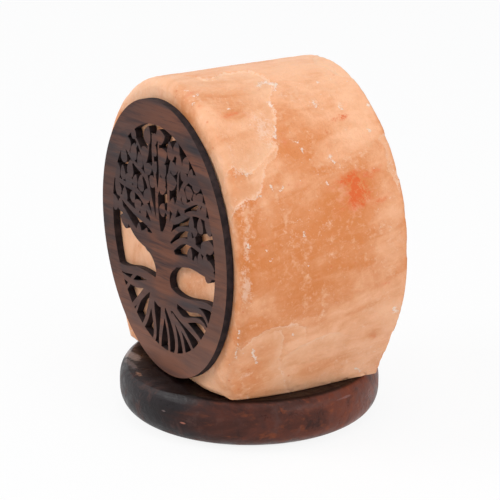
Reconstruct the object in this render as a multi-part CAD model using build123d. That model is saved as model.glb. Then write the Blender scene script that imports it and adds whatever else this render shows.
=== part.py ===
from build123d import *
from math import acos, atan2, cos, degrees, hypot, radians, sin
import os

# Salt crystal lamp: a drum of rock salt stands on its cut flat on a turned wooden base, with a
# pierced wooden tree disc glued to its front. A pull-out lampholder with a small screw bulb
# goes up through the base into a cavity drilled in the salt.
# Millimetres, +Z up. The origin is on the table, under the middle of the base; the disc faces -Y.

# ------------------------------------------------------------------ driving dimensions
# wooden base
BASE_R = 54.0               # at the belly
BASE_TOP = 21.5             # height of the seat above the table
BASE_SOLE = 1.0             # the wood hangs this far above the table, on its feet
BASE_SOLE_R = 47.0
BASE_RIM_R = 50.8           # the crease where the belly meets the seat
BASE_RIM_CHAMFER = (1.0, 0.5)   # in and down
SHAVE_Y = -40.5             # in front of this line the seat is shaved down towards the rim
SHAVE_SLOPE = 6.0           # degrees
BORE_R = 19.0               # lets the lampholder through into the salt
RECESS_R = 23.0             # wider bore from below, with a shoulder for the lampholder's flange
RECESS_TOP = 15.2
CORD_SLOT_WIDTH = 10.0
CORD_SLOT_TOP = 13.5

# rubber feet, each in a recess
FOOT_R = 4.9
FOOT_RECESS_R = 5.0
FOOT_HEIGHT = 2.6
FOOT_CIRCLE_R = 38.5

# screws that hold the salt down, and the plugs that they bite in
SCREW_CIRCLE_R = 31.0
SCREW_ANGLES = (-10, 60, 120, 190)
SCREW_SHANK_R = 1.75
SCREW_HOLE_R = 2.1
SCREW_HEAD_R = 3.7
SCREW_HEAD_HEIGHT = 2.4
COUNTERBORE_R = 4.3
SCREW_HEAD_TOP = 6.0        # the counterbore's end, where the head bears
SCREW_TIP = 36.0
SCREW_POINT = 3.0           # length of its pointed end
PLUG_R = 3.0
PLUG_BOTTOM = 22.0
PLUG_TOP = 38.0
PLUG_SPLIT = 11.0           # length of the slit in its upper part

# salt block
DRUM_R = 66.0
DRUM_Z = 79.6               # height of the drum's axis, which runs along Y
SALT_FRONT = -36.6
SALT_BACK = 38.2
SEAT_HALF = 41.4            # half the width of the flat that it stands on
FRONT_ROUND = 5.0
BACK_ROUND = 1.6
CAVITY_R = 24.0
CAVITY_TOP = 112.0
CAVITY_ROUND = 3.0

# tree disc
DISC_R = 57.5
DISC_THICKNESS = 3.0
RING_INNER_R = 47.3
LEAF_RATIO = 0.74           # a leaf's width over its length
STALK_WIDTH = 1.3
SMALLEST_GAP = 0.9          # square millimetres; a smaller gap between leaves is left uncut

# lampholder, small Edison screw
CAP_SOLE = 3.0
CAP_R = 16.0
CAP_WALL = 1.8
CAP_FLOOR = 2.0
CAP_TOP = 15.0
FLANGE_R = 21.5
FLANGE_THICKNESS = 2.0
CORD_HOLE_R = 3.5
CORD_HOLE_Z = 9.0
COLLAR_R = 5.0              # the collar round the cord's hole
COLLAR_REACH = 19.0
YOKE_THICKNESS = 0.6
CLIP_REACH = 18.2           # how far the spring arms bow out, just inside the bore
CLIP_WIDTH = 8.0
SPIGOT_BOTTOM = 12.8        # how far the skirt reaches down into the cap, above the cord's hole
SKIRT_FOOT_R = 15.5
SKIRT_MOUTH_R = 13.4
SKIRT_TOP = 50.0
CHAMBER_R = 12.0
WEB_BOTTOM = 24.0
WEB_TOP = 27.0
SOCKET_R = 8.3
SHELL_INNER_R = 7.25
SHELL_WALL = 0.6
SHELL_TOP = 49.0
INSERT_BOTTOM = 17.0
BOSS_R = 4.4
BOSS_TOP = 28.2
SIDE_STRIP_X = 6.4          # where the shell's contact strip goes down through the insert
CENTRE_STRIP_X = -2.6       # where the centre contact's leg goes down
STRIP_WIDTH = 3.0
STRIP_THICKNESS = 0.6
STRIP_BOTTOM = 16.0
TERMINAL_X = 7.0
CLAMP_BOTTOM = 11.5
CLAMP_HEIGHT = 4.5
CLAMP_SCREW_R = 1.23
FIT = 0.1                   # clearance between parts that sit in each other
SNUG = 0.02                 # clearance between parts that press on each other

# bulb
BULB_TIP = 31.0
BULB_TOP = 88.0
BULB_R = 14.0
BULB_BELLY_Z = 71.0
NECK_R = 6.4
NECK_FOOT = 46.0            # closed end of the glass, inside the metal cap
CAP_SHELL_R = 6.85
CAP_SHELL_WALL = 0.35
CAP_SHELL_WAIST_R = 5.6
CAP_SHELL_BOTTOM = 35.0
CAP_SHELL_TOP = 48.0
TIP_TOP = 32.3              # top of the solder contact
GLASS = 0.8
WIRE_R = 0.25
WIRE_ENDS = [(0.4, 57.5), (6.0, 69.5)]      # distance from the axis and height
FILAMENT_R = 0.3
FILAMENT_END = (5.6, 69.7)
FILAMENT_CREST = 72.6

UPWARDS = (Align.CENTER, Align.CENTER, Align.MIN)

# The tree, in millimetres about the disc's centre (x to the right, y up). Each limb is its
# line from the trunk outwards, its widths at both ends, and its leaves: x, y, lean, length.
LIMBS = [
    ([(2, -7), (12, -5.8), (24, -2.9), (38, -2.7), (47, -1.6)], 6.0, 2.6,
     [(25, 1.3, 80, 6.0), (30.2, -0.2, 90, 4.5), (41.5, -3.6, 10, 6.4)]),
    ([(2, -5), (9, -1), (16, 3.8), (26, 5.7), (38, 5)], 3.4, 1.8,
     [(25, 9, 80, 5.6), (28.6, 7.6, 60, 4.7), (34, 1.8, 95, 6.0), (38, 1.2, 110, 5.8),
      (43, 0.6, 5, 7.5), (38, 8.2, 60, 6.6), (43, 9.2, 10, 7.5)]),
    ([(2, -2), (9, 4.4), (16, 9), (24, 11.2), (31, 12.2)], 3.2, 1.4,
     [(29.6, 11.8, 20, 5.0)]),
    ([(10, 10.5), (17, 13.6), (25, 18.2), (34, 19.9), (47, 20.6)], 2.8, 1.6,
     [(26.5, 14.8, 78, 6.2), (34.2, 15.9, 92, 6.9), (41.2, 17.2, 150, 7.1),
      (33.2, 21.6, 70, 4.7), (37.8, 22.6, 55, 6.5)]),
    ([(2, -1), (7, 8), (12, 14), (15, 21.5), (20, 29), (34, 32.2)], 3.6, 1.8,
     [(17.4, 18.6, 105, 6.7), (20, 23.6, 95, 6.0), (20, 32.6, 5, 6.5), (26.3, 34, 80, 7.1),
      (31.5, 32.4, 15, 9.3)]),
    ([(14.5, 17), (21, 20), (28, 23.6), (38, 25.4)], 2.4, 1.5,
     [(24.8, 26.9, 15, 7.1), (29.6, 26.2, 80, 4.5), (34.2, 26.9, 45, 7.1),
      (38.2, 24.2, 60, 5.0)]),
    ([(14, 20), (14.4, 28), (15.4, 33), (19, 36)], 1.8, 1.3,
     [(15.6, 37, 88, 7.3), (22.2, 38.2, 65, 7.8)]),
    ([(1, 2), (5.2, 10), (5.6, 20), (6.3, 29), (9, 36)], 3.0, 1.5,
     [(0.2, 12.8, 60, 6.5), (9.4, 17.2, 80, 7.1), (8.9, 26.8, 12, 9.3), (11.2, 33, 8, 7.1),
      (7.6, 39.6, 105, 7.8), (13.6, 42, 75, 7.3)]),
    ([(-2, -1), (-4.6, 8), (-5.4, 17), (-7, 27), (-9.2, 35), (-8, 42)], 3.2, 1.2,
     [(-8.6, 21.9, 12, 6.7), (-6.8, 28.8, 60, 6.0), (-7.2, 36.2, 90, 6.0),
      (-6.4, 41, 35, 6.0)]),
    ([(-5.5, 17), (-3, 22), (-2.4, 29), (-3.2, 36), (-2.6, 42)], 1.8, 1.1,
     [(0.4, 21.6, 10, 6.9), (1.4, 25.2, 80, 5.0), (1.2, 29.6, 48, 7.3), (0.8, 35.6, 30, 9.1),
      (-1, 43, 18, 8.0)]),
    ([(-3, -1), (-8.4, 8.5), (-12, 16.5), (-15, 24), (-19, 31), (-26, 36.6)], 3.6, 1.3,
     [(-14.2, 14.8, 60, 7.1), (-12.2, 26.6, 28, 6.5), (-20.9, 27.9, 100, 6.9),
      (-15.8, 32.6, 25, 6.7), (-26.8, 38.2, 110, 6.0), (-26.4, 30.2, 75, 7.8)]),
    ([(-16.5, 27), (-13.6, 32), (-12.4, 37)], 1.6, 1.3,
     [(-13.4, 40.8, 72, 8.2)]),
    ([(-12.5, 18), (-18, 23), (-26, 25.2), (-31, 28), (-38, 33)], 2.4, 1.6,
     [(-33.4, 32, 150, 8.2), (-30, 21.8, 82, 7.8), (-36.2, 26.4, 98, 7.8),
      (-20, 18.2, 88, 7.3)]),
    ([(-4, -1), (-10, 5), (-16, 11), (-24, 13.4), (-34, 13.4), (-48, 15.4)], 3.6, 1.8,
     [(-25.4, 17.6, 75, 6.0), (-31.2, 16, 12, 7.3), (-37.2, 18, 95, 6.3),
      (-44.4, 17.4, 170, 9.1), (-27.8, 10.4, 62, 6.0), (-35.6, 9, 85, 6.5),
      (-42.4, 10.2, 125, 7.5)]),
    ([(-4, -2), (-13, 2.6), (-22, 3.4), (-32, 5), (-41, 7.4)], 4.0, 1.8,
     [(-17.4, 7, 60, 7.1), (-22.8, 7.8, 35, 7.1), (-39.8, 3.4, 80, 6.5),
      (-9.4, 5.4, 130, 6.5)]),
    ([(-4, -7), (-14, -6.2), (-24, -5.4), (-32, -1.4), (-46, 2.4)], 6.0, 2.2,
     [(-15.6, -2.2, 70, 5.4), (-22.2, -3, 92, 6.7), (-36.4, -2.6, 172, 8.0),
      (-46, 3, 140, 8.0)]),
]
# Each root is its line from the trunk to the ring and its widths at both ends.
ROOTS = [
    ([(-5, -21), (-15, -20.8), (-22, -21.1), (-31, -23.2), (-46.5, -23.4)], 4.0, 3.0),
    ([(-6, -24), (-17, -25), (-26, -27.6), (-34, -28), (-45.5, -27.6)], 4.0, 2.0),
    ([(-22, -21), (-27.5, -24.4), (-32, -29), (-38, -34.5)], 2.0, 1.8),
    ([(-10, -24), (-17, -28), (-21.5, -32), (-26.5, -36), (-32, -41)], 3.8, 1.9),
    ([(-20.5, -31), (-24.2, -36.5), (-28, -43)], 1.8, 1.7),
    ([(-9, -24), (-12, -31), (-14.8, -37.5), (-20.5, -45)], 3.8, 2.0),
    ([(-8, -25), (-10, -32), (-8.2, -39), (-10, -48)], 4.0, 2.0),
    ([(-2, -24), (-0.5, -32), (-1.9, -39), (-3, -49)], 4.4, 1.9),
    ([(0, -31), (4.2, -38.5), (5, -49)], 1.9, 1.9),
    ([(1, -24), (6, -30.5), (10.5, -36), (10, -48)], 4.0, 2.2),
    ([(8, -30.5), (16, -36), (19.5, -45)], 3.0, 2.4),
    ([(11, -31.5), (20, -34.8), (28.5, -41)], 2.3, 1.9),
    ([(3, -23), (14, -28.4), (25, -31), (37, -34.5)], 4.2, 2.1),
    ([(12, -27.6), (24, -27.4), (31, -25.2), (41, -27.6)], 2.2, 1.8),
    ([(5, -21), (15, -22.4), (27, -22), (36, -20.6), (41.5, -25)], 4.0, 1.6),
    ([(5, -20), (15, -21.4), (26, -19.6), (36, -17), (46.5, -16.4)], 4.0, 2.4),
]
TRUNK = [(-14, -9.6), (-8.3, -12.5), (-6.4, -16.2), (-8.6, -20.6), (-13, -24.5), (-10, -28),
         (-3, -30.5), (3, -29), (9, -28.5), (13, -25.5), (8.8, -19.8), (6.3, -16), (8, -12),
         (13, -7.5), (8, 0), (1, 3), (-4, 2), (-12, -1), (-20, -3)]


# ------------------------------------------------------------------ helpers
def turned(outline):
    """A body turned about Z from a closed outline of radius and height."""
    return revolve(Plane.XZ * make_face(outline), Axis.Z)


def ring(outer_r, inner_r, bottom, top):
    """A plain tube about Z between two heights, or a cylinder where inner_r is 0."""
    tube = Cylinder(outer_r, top - bottom, align=UPWARDS)
    if inner_r > 0:
        tube -= Cylinder(inner_r, top - bottom, align=UPWARDS)
    return Pos(0, 0, bottom) * tube


def block(x, y, z, width, depth, height):
    """A rectangular bar centred on x and y, standing on height z."""
    return Pos(x, y, z) * Box(width, depth, height, align=UPWARDS)


def around(radius, angles):
    """Places on a circle about Z."""
    return [Pos(radius * cos(radians(a)), radius * sin(radians(a)), 0) for a in angles]


def screw_places():
    return around(SCREW_CIRCLE_R, SCREW_ANGLES)


def foot_places():
    return around(FOOT_CIRCLE_R, (45, 135, 225, 315))


# ------------------------------------------------------------------ wooden base and what fixes it
def wood_base():
    """Turned puck with a stepped bore, a cord slot to the back, screw holes and foot recesses."""
    crease = (BASE_RIM_R, BASE_TOP - BASE_RIM_CHAMFER[1])
    seat_edge = (BASE_RIM_R - BASE_RIM_CHAMFER[0], BASE_TOP)
    belly = Spline((BASE_SOLE_R, BASE_SOLE), (BASE_R, BASE_TOP / 2), crease,
                   tangents=[(1, 0.3), (0, 1), (-0.8, 0.6)])
    body = turned(belly + Polyline(crease, seat_edge, (0, BASE_TOP), (0, BASE_SOLE),
                                   (BASE_SOLE_R, BASE_SOLE)))
    shaving = Box(3 * BASE_R, BASE_R, BASE_TOP, align=(Align.CENTER, Align.MAX, Align.MIN))
    body -= Pos(0, SHAVE_Y, BASE_TOP) * Rot(SHAVE_SLOPE, 0, 0) * shaving
    body -= ring(BORE_R, 0, 0, BASE_TOP)
    body -= ring(RECESS_R, 0, 0, RECESS_TOP)
    body -= block(0, BASE_R, 0, CORD_SLOT_WIDTH, 2 * BASE_R, CORD_SLOT_TOP)
    for place in screw_places():
        body -= place * ring(SCREW_HOLE_R, 0, 0, BASE_TOP)
        body -= place * ring(COUNTERBORE_R, 0, 0, SCREW_HEAD_TOP)
    for place in foot_places():
        body -= place * ring(FOOT_RECESS_R, 0, 0, FOOT_HEIGHT)
    return body


def rubber_feet():
    foot = fillet(ring(FOOT_R, 0, 0, FOOT_HEIGHT).edges().group_by(Axis.Z)[0], 0.4)
    return Compound([place * foot for place in foot_places()])


def base_screws():
    """Pan-head wood screws from below, with a cross slot sunk in each head."""
    head = ring(SCREW_HEAD_R, 0, SCREW_HEAD_TOP - SCREW_HEAD_HEIGHT, SCREW_HEAD_TOP)
    head = chamfer(head.edges().group_by(Axis.Z)[0], 0.8)
    for turn in (0, 90):
        head -= Rot(0, 0, turn) * block(0, 0, 0, 4.0, 0.9, SCREW_HEAD_TOP - 1.0)
    shank = ring(SCREW_SHANK_R, 0, SCREW_HEAD_TOP, SCREW_TIP - SCREW_POINT)
    point = Pos(0, 0, SCREW_TIP - SCREW_POINT) * Cone(SCREW_SHANK_R, 0.4, SCREW_POINT, align=UPWARDS)
    return Compound([place * (head + shank + point) for place in screw_places()])


def salt_plugs():
    """Plastic plugs in the salt, split over their upper part, for the screws to bite in."""
    plug = ring(PLUG_R, SCREW_SHANK_R + SNUG, PLUG_BOTTOM, PLUG_TOP)
    plug -= block(0, 0, PLUG_TOP - PLUG_SPLIT, 0.8, 3 * PLUG_R, PLUG_SPLIT)
    return Compound([place * plug for place in screw_places()])


# ------------------------------------------------------------------ salt block
def salt_block():
    """A drum along Y, cut flat to stand, with straight flanks and a cavity drilled from below."""
    drop = BASE_TOP - DRUM_Z
    touch = atan2(drop, SEAT_HALF) + acos(DRUM_R / hypot(SEAT_HALF, drop))
    right = (DRUM_R * cos(touch), DRUM_Z + DRUM_R * sin(touch))
    left = (-right[0], right[1])
    outline = (ThreePointArc(right, (0, DRUM_Z + DRUM_R), left)
               + Polyline(left, (-SEAT_HALF, BASE_TOP), (SEAT_HALF, BASE_TOP), right))
    drum = extrude(Plane.XZ * make_face(outline), SALT_BACK - SALT_FRONT, dir=(0, 1, 0))
    drum = Pos(0, SALT_FRONT, 0) * drum
    drum = fillet(drum.edges().group_by(Axis.Y)[0], FRONT_ROUND)
    drum = fillet(drum.edges().group_by(Axis.Y)[-1], BACK_ROUND)
    cavity = fillet(ring(CAVITY_R, 0, BASE_TOP, CAVITY_TOP).edges().group_by(Axis.Z)[-1], CAVITY_ROUND)
    drum -= cavity
    for place in screw_places():
        drum -= place * ring(PLUG_R + SNUG, 0, BASE_TOP, PLUG_TOP + 1)
    return drum


# ------------------------------------------------------------------ tree disc
def stroke(points, start_width, end_width):
    """A tapered ribbon along a smooth line."""
    spine = Spline(*points)
    left, right = [], []
    for share in (0, 0.25, 0.5, 0.75, 1):
        along = spine % share
        half = Vector(-along.Y, along.X) * (start_width + (end_width - start_width) * share) / 2
        left.append(spine @ share + half)
        right.insert(0, spine @ share - half)
    return make_face(Spline(*left) + Line(left[-1], right[0])
                     + Spline(*right) + Line(right[-1], left[0]))


def leaf(x, y, lean, length):
    """An oval leaf, round at its stalk and pointed at its tip."""
    half, bulge = length / 2, LEAF_RATIO * length
    upper = Bezier((-half, 0), (-half, bulge * 0.8), (0.3 * half, bulge * 0.6), (half, 0))
    lower = Bezier((half, 0), (0.3 * half, -bulge * 0.6), (-half, -bulge * 0.8), (-half, 0))
    return Pos(x, y) * Rot(0, 0, lean) * make_face(upper + lower)


def stalk(x, y, limb):
    """A short bridge from a leaf's middle to the nearest point of its limb."""
    spine = Spline(*limb)
    steps = [spine @ (i / 60) for i in range(61)]
    foot = min(steps, key=lambda p: hypot(p.X - x, p.Y - y))
    reach = hypot(foot.X - x, foot.Y - y)
    turn = degrees(atan2(foot.Y - y, foot.X - x))
    return Pos(x, y) * Rot(0, 0, turn) * Rectangle(reach, STALK_WIDTH, align=(Align.MIN, Align.CENTER))


def tree_disc():
    """A ring with a tree cut free inside it: trunk, limbs with leaves above, roots below."""
    pieces = [make_face(Spline(*TRUNK, periodic=True))]
    for line, start_width, end_width, leaves in LIMBS:
        pieces.append(stroke(line, start_width, end_width))
        for x, y, lean, length in leaves:
            pieces.append(leaf(x, y, lean, length))
            pieces.append(stalk(x, y, line))
    pieces += [stroke(*root) for root in ROOTS]
    rim = Circle(DISC_R) - Circle(RING_INNER_R)
    sheet = (rim + pieces).face()
    gaps = [wire for wire in sheet.inner_wires() if Face(wire).area > SMALLEST_GAP]
    sheet = Face(sheet.outer_wire(), gaps)
    front = Plane((0, SALT_FRONT, DRUM_Z), x_dir=(1, 0, 0), z_dir=(0, -1, 0))
    return extrude(front * sheet, DISC_THICKNESS)


# ------------------------------------------------------------------ lampholder
def rear_cap():
    """A cup with a flange that stops under the base's shoulder, and a side hole for the cord."""
    cap = ring(CAP_R, 0, CAP_SOLE, CAP_TOP) + ring(FLANGE_R, 0, CAP_TOP - FLANGE_THICKNESS, CAP_TOP)
    cap = fillet(cap.edges().group_by(Axis.Z)[0], 1.2)
    cord_way = Pos(0, 0, CORD_HOLE_Z) * Rot(-90, 0, 0)
    cap += cord_way * Cylinder(COLLAR_R, COLLAR_REACH, align=UPWARDS)
    cap -= ring(CAP_R - CAP_WALL, 0, CAP_SOLE + CAP_FLOOR, CAP_TOP)
    return cap - cord_way * Cylinder(CORD_HOLE_R, COLLAR_REACH, align=UPWARDS)


def strip_slot(x, bottom, top):
    """The slot that a contact strip passes through."""
    return block(x, 0, bottom, STRIP_THICKNESS + 2 * FIT, STRIP_WIDTH + 2 * FIT, top - bottom)


def holder_skirt():
    """The moulded body: a spigot in the cap, a wiring chamber, a web and the bulb's socket."""
    foot = CAP_TOP + YOKE_THICKNESS
    spigot_r = CAP_R - CAP_WALL - FIT
    skirt = turned(Polyline((0, SPIGOT_BOTTOM), (spigot_r, SPIGOT_BOTTOM), (spigot_r, foot),
                            (SKIRT_FOOT_R, foot), (SKIRT_FOOT_R, foot + 6), (SKIRT_MOUTH_R, foot + 12),
                            (SKIRT_MOUTH_R, SKIRT_TOP - 1), (SKIRT_MOUTH_R - 1, SKIRT_TOP),
                            (0, SKIRT_TOP), close=True))
    skirt -= ring(CHAMBER_R, 0, SPIGOT_BOTTOM, WEB_BOTTOM)
    skirt -= ring(SOCKET_R, 0, WEB_TOP, SKIRT_TOP)
    skirt -= ring(BOSS_R + FIT, 0, WEB_BOTTOM, WEB_TOP)
    return skirt - strip_slot(SIDE_STRIP_X, WEB_BOTTOM, WEB_TOP)


def terminal_insert():
    """Ceramic insert under the web, with a boss that carries the centre contact."""
    insert = ring(CHAMBER_R - FIT, 0, INSERT_BOTTOM, WEB_BOTTOM) + ring(BOSS_R, 0, WEB_BOTTOM, BOSS_TOP)
    for x in (SIDE_STRIP_X, CENTRE_STRIP_X):
        insert -= strip_slot(x, INSERT_BOTTOM, BOSS_TOP)
    return insert


def threaded_shell():
    """Brass shell that the bulb screws into, with a rolled mouth and a holed floor."""
    outer_r = SHELL_INNER_R + SHELL_WALL
    wall = ring(outer_r, SHELL_INNER_R, WEB_TOP, SHELL_TOP)
    floor = ring(outer_r, BOSS_R + 2 * FIT, WEB_TOP, WEB_TOP + SHELL_WALL)
    return wall + floor + ring(outer_r + 0.3, SHELL_INNER_R, SHELL_TOP - 1, SHELL_TOP)


def centre_contact():
    """A leg down through the boss, and a tongue that bends up under the bulb's tip."""
    tongue_top = BULB_TIP - SNUG - STRIP_THICKNESS / 2
    path = Polyline((CENTRE_STRIP_X, STRIP_BOTTOM), (CENTRE_STRIP_X, BOSS_TOP + 0.35), (0.6, BOSS_TOP + 0.9),
                    (1.6, tongue_top), (3.0, tongue_top))
    bar = offset(path, STRIP_THICKNESS / 2, kind=Kind.INTERSECTION, side=Side.BOTH)
    return extrude(Plane.XZ * make_face(bar.wires()), STRIP_WIDTH / 2, both=True)


def side_contact():
    """A strip from the shell's floor down through the web to its terminal."""
    return block(SIDE_STRIP_X, 0, STRIP_BOTTOM, STRIP_THICKNESS, STRIP_WIDTH, WEB_TOP - STRIP_BOTTOM)


def at_terminals(piece):
    return Compound([Pos(side * TERMINAL_X, 0, 0) * piece for side in (-1, 1)])


def terminal_clamps():
    """Two brass blocks under the insert, each with a hole for a wire and one for its screw."""
    clamp = block(0, 0, CLAMP_BOTTOM, 4.6, 6.0, CLAMP_HEIGHT)
    clamp -= Pos(0, 0, CLAMP_BOTTOM + 1.9) * Rot(90, 0, 0) * Cylinder(1.1, 8)
    clamp -= ring(CLAMP_SCREW_R + SNUG, 0, CLAMP_BOTTOM, CLAMP_BOTTOM + 1.5)
    return at_terminals(clamp)


def terminal_screws():
    """Slotted screws, one up into each clamp."""
    head_bottom = CLAMP_BOTTOM - 1.7
    screw = ring(2.2, 0, head_bottom, CLAMP_BOTTOM) + ring(CLAMP_SCREW_R, 0, CLAMP_BOTTOM, CLAMP_BOTTOM + 0.9)
    return at_terminals(screw - block(0, 0, head_bottom, 5, 0.6, 0.7))


def spring_clip():
    """A yoke ring clamped over the cap, with two bowed arms that press on the bore."""
    yoke = ring(CAP_R, CAP_R - CAP_WALL, CAP_TOP, CAP_TOP + YOKE_THICKNESS)
    middle = CAP_TOP + YOKE_THICKNESS / 2
    bow = stroke([(CAP_R - 0.3, middle), (CAP_R + 1.2, middle + 1), (CLIP_REACH - 0.3, middle + 5),
                  (CAP_R + 1, middle + 12), (CAP_R - 1.6, middle + 20), (CAP_R - 1.2, middle + 22)],
                 YOKE_THICKNESS, YOKE_THICKNESS)
    arm = extrude(Plane.XZ * bow, CLIP_WIDTH / 2, both=True)
    return yoke + arm + Rot(0, 0, 180) * arm


# ------------------------------------------------------------------ bulb
def envelope_outline(inset):
    """Half the pear-shaped glass, moved in by its wall's thickness for the inside."""
    belly_r, neck_r, top = BULB_R - inset, NECK_R - inset, BULB_TOP - inset
    shoulder = (neck_r, CAP_SHELL_TOP + 2)
    side = Spline(shoulder, (belly_r * 0.86, 61), (belly_r, BULB_BELLY_Z), (belly_r * 0.72, 83), (0, top),
                  tangents=[(0, 1), (-1, 0)])
    return side + Polyline((0, top), (0, NECK_FOOT), (neck_r, NECK_FOOT), shoulder)


def glass_envelope():
    return turned(envelope_outline(0)) - turned(envelope_outline(GLASS))


def screw_cap():
    """Thin metal cap round the glass's neck, drawn in at its lower end."""
    inner_r, bottom = CAP_SHELL_R - CAP_SHELL_WALL, CAP_SHELL_BOTTOM
    return turned(Polyline((inner_r, CAP_SHELL_TOP), (CAP_SHELL_R, CAP_SHELL_TOP), (CAP_SHELL_R, bottom + 1),
                           (CAP_SHELL_WAIST_R, bottom), (CAP_SHELL_WAIST_R - CAP_SHELL_WALL, bottom + 0.1),
                           (inner_r, bottom + 1.2), close=True))


def cap_insulator():
    """Dark glass cone between the cap and the tip contact."""
    rim_r = CAP_SHELL_WAIST_R - CAP_SHELL_WALL - SNUG
    return turned(Polyline((0, TIP_TOP), (2.6, TIP_TOP), (rim_r, CAP_SHELL_BOTTOM),
                           (rim_r, CAP_SHELL_BOTTOM + 0.8), (0, CAP_SHELL_BOTTOM + 0.8), close=True))


def tip_contact():
    """Domed solder contact in the middle of the bulb's foot."""
    dome = ThreePointArc((0.8, BULB_TIP), (2.0, BULB_TIP + 0.5), (2.3, TIP_TOP))
    return turned(dome + Polyline((2.3, TIP_TOP), (0, TIP_TOP), (0, BULB_TIP), (0.8, BULB_TIP)))


def wire_rods(radius):
    """Two straight rods that spread from inside the stem to the filament's ends."""
    rods = []
    for side in (-1, 1):
        path = Line(*[(side * x, 0, z) for x, z in WIRE_ENDS])
        rods.append(sweep(Plane(path @ 0, z_dir=path % 0) * Circle(radius), path))
    return rods


def glass_stem():
    """Flared stem that closes the neck and holds the wires."""
    flare_r = NECK_R - GLASS - FIT
    bottom = NECK_FOOT + GLASS + FIT
    stem = turned(Polyline((0, bottom), (flare_r, bottom), (flare_r, bottom + 1), (2.6, 52), (1.9, 58),
                           (2.4, 60), (0, 60.5), close=True))
    for rod in wire_rods(WIRE_R + SNUG):
        stem -= rod
    return stem


def lead_wires():
    return Compound(wire_rods(WIRE_R))


def filament():
    """The filament's coil, as one fine bowed rod between the wires' tips."""
    end_x, end_z = FILAMENT_END
    path = ThreePointArc((-end_x, 0, end_z), (0, 0, FILAMENT_CREST), (end_x, 0, end_z))
    return sweep(Plane(path @ 0, z_dir=path % 0) * Circle(FILAMENT_R), path)


# ------------------------------------------------------------------ all nodes
NODES = [
    salt_block, wood_base, tree_disc, base_screws, salt_plugs, rubber_feet,
    rear_cap, holder_skirt, terminal_insert, threaded_shell, centre_contact, side_contact,
    terminal_clamps, terminal_screws, spring_clip,
    glass_envelope, screw_cap, cap_insulator, tip_contact, glass_stem, lead_wires, filament,
]

os.makedirs("parts", exist_ok=True)
for make in NODES:
    export_step(make(), f"parts/{make.__name__}.step")
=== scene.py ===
from math import cos, pi, radians, sin

import bmesh
import bpy
import numpy as np
from mathutils import Matrix, Vector, noise


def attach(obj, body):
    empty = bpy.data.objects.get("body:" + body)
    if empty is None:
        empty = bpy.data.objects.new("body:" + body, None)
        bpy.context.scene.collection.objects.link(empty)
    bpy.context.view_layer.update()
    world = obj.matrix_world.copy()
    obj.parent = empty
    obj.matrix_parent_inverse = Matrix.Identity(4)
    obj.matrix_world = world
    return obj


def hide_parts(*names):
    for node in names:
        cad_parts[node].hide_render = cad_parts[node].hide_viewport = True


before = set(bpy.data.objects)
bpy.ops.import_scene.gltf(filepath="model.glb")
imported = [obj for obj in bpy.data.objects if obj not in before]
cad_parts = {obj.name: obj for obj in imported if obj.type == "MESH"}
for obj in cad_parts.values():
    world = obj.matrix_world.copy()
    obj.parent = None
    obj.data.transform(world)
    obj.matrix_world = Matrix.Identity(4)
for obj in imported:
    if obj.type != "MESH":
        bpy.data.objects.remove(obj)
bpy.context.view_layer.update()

MM = 0.001

# ------------------------------------------------------------------ the camera
VIEW_TURN = radians(62.7)       # round from the front, towards the right
VIEW_RISE = radians(19.15)
VIEW_DISTANCE = 1.44375
VIEW_ASIDE, VIEW_HEIGHT = 0.33 * MM, 68.5 * MM      # the point that the camera looks at
VIEW_CENTRE = Vector((VIEW_ASIDE * cos(VIEW_TURN), VIEW_ASIDE * sin(VIEW_TURN), VIEW_HEIGHT))
LENS, SENSOR = 252, 36          # millimetres
PICTURE = 500                   # pixels across the square picture
FARTHEST = 20                   # metres; nothing beyond it is drawn


def view_axes():
    """The directions back to the camera, right and up in the picture."""
    back = Vector((sin(VIEW_TURN) * cos(VIEW_RISE), -cos(VIEW_TURN) * cos(VIEW_RISE), sin(VIEW_RISE)))
    right = Vector((cos(VIEW_TURN), sin(VIEW_TURN), 0))
    return back, right, back.cross(right)


def place_camera():
    """A long lens from the right of the tree disc, a little above."""
    back = view_axes()[0]
    camera = bpy.data.objects.new("camera", bpy.data.cameras.new("camera"))
    camera.data.lens, camera.data.sensor_width = LENS, SENSOR
    camera.data.clip_end = FARTHEST
    camera.location = VIEW_CENTRE + back * VIEW_DISTANCE
    camera.rotation_euler = back.to_track_quat("Z", "Y").to_euler()
    bpy.context.scene.collection.objects.link(camera)
    bpy.context.scene.camera = camera


# ------------------------------------------------------------------ sizes of the lamp, in millimetres
DRUM_R, DRUM_Z = 66.0, 79.6
SALT_FRONT, SALT_BACK = -36.6, 38.2
SEAT_Z, SEAT_HALF = 21.5, 41.4
FRONT_ROUND, BACK_ROUND = 5.0, 1.6
CAVITY_R, CAVITY_TOP = 24.0, 112.0
CAVITY_ROUND, CAVITY_BEVEL = 3.0, 0.9
DRILL_START, DRILL_TIP_R, DRILL_SIDES = 10, 0.5, 72
SCREW_CIRCLE_R, SCREW_ANGLES = 31.0, (-10, 60, 120, 190)
PLUG_HOLE_R, PLUG_HOLE_SIDES = 3.02, 32
PLUG_HOLE_Z, PLUG_HOLE_LENGTH = 30, 18          # its middle and its whole length
BASE_SEAT_LOW, BASE_SEAT_HIGH = 20.4, 21.2      # where the base's wall turns into its flat top
DISC_WORK_R = 47.0              # inside the disc's plain ring
DISC_CRACK_Z = DRUM_Z - 22.2
THREAD_PITCH = 2.82


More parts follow.
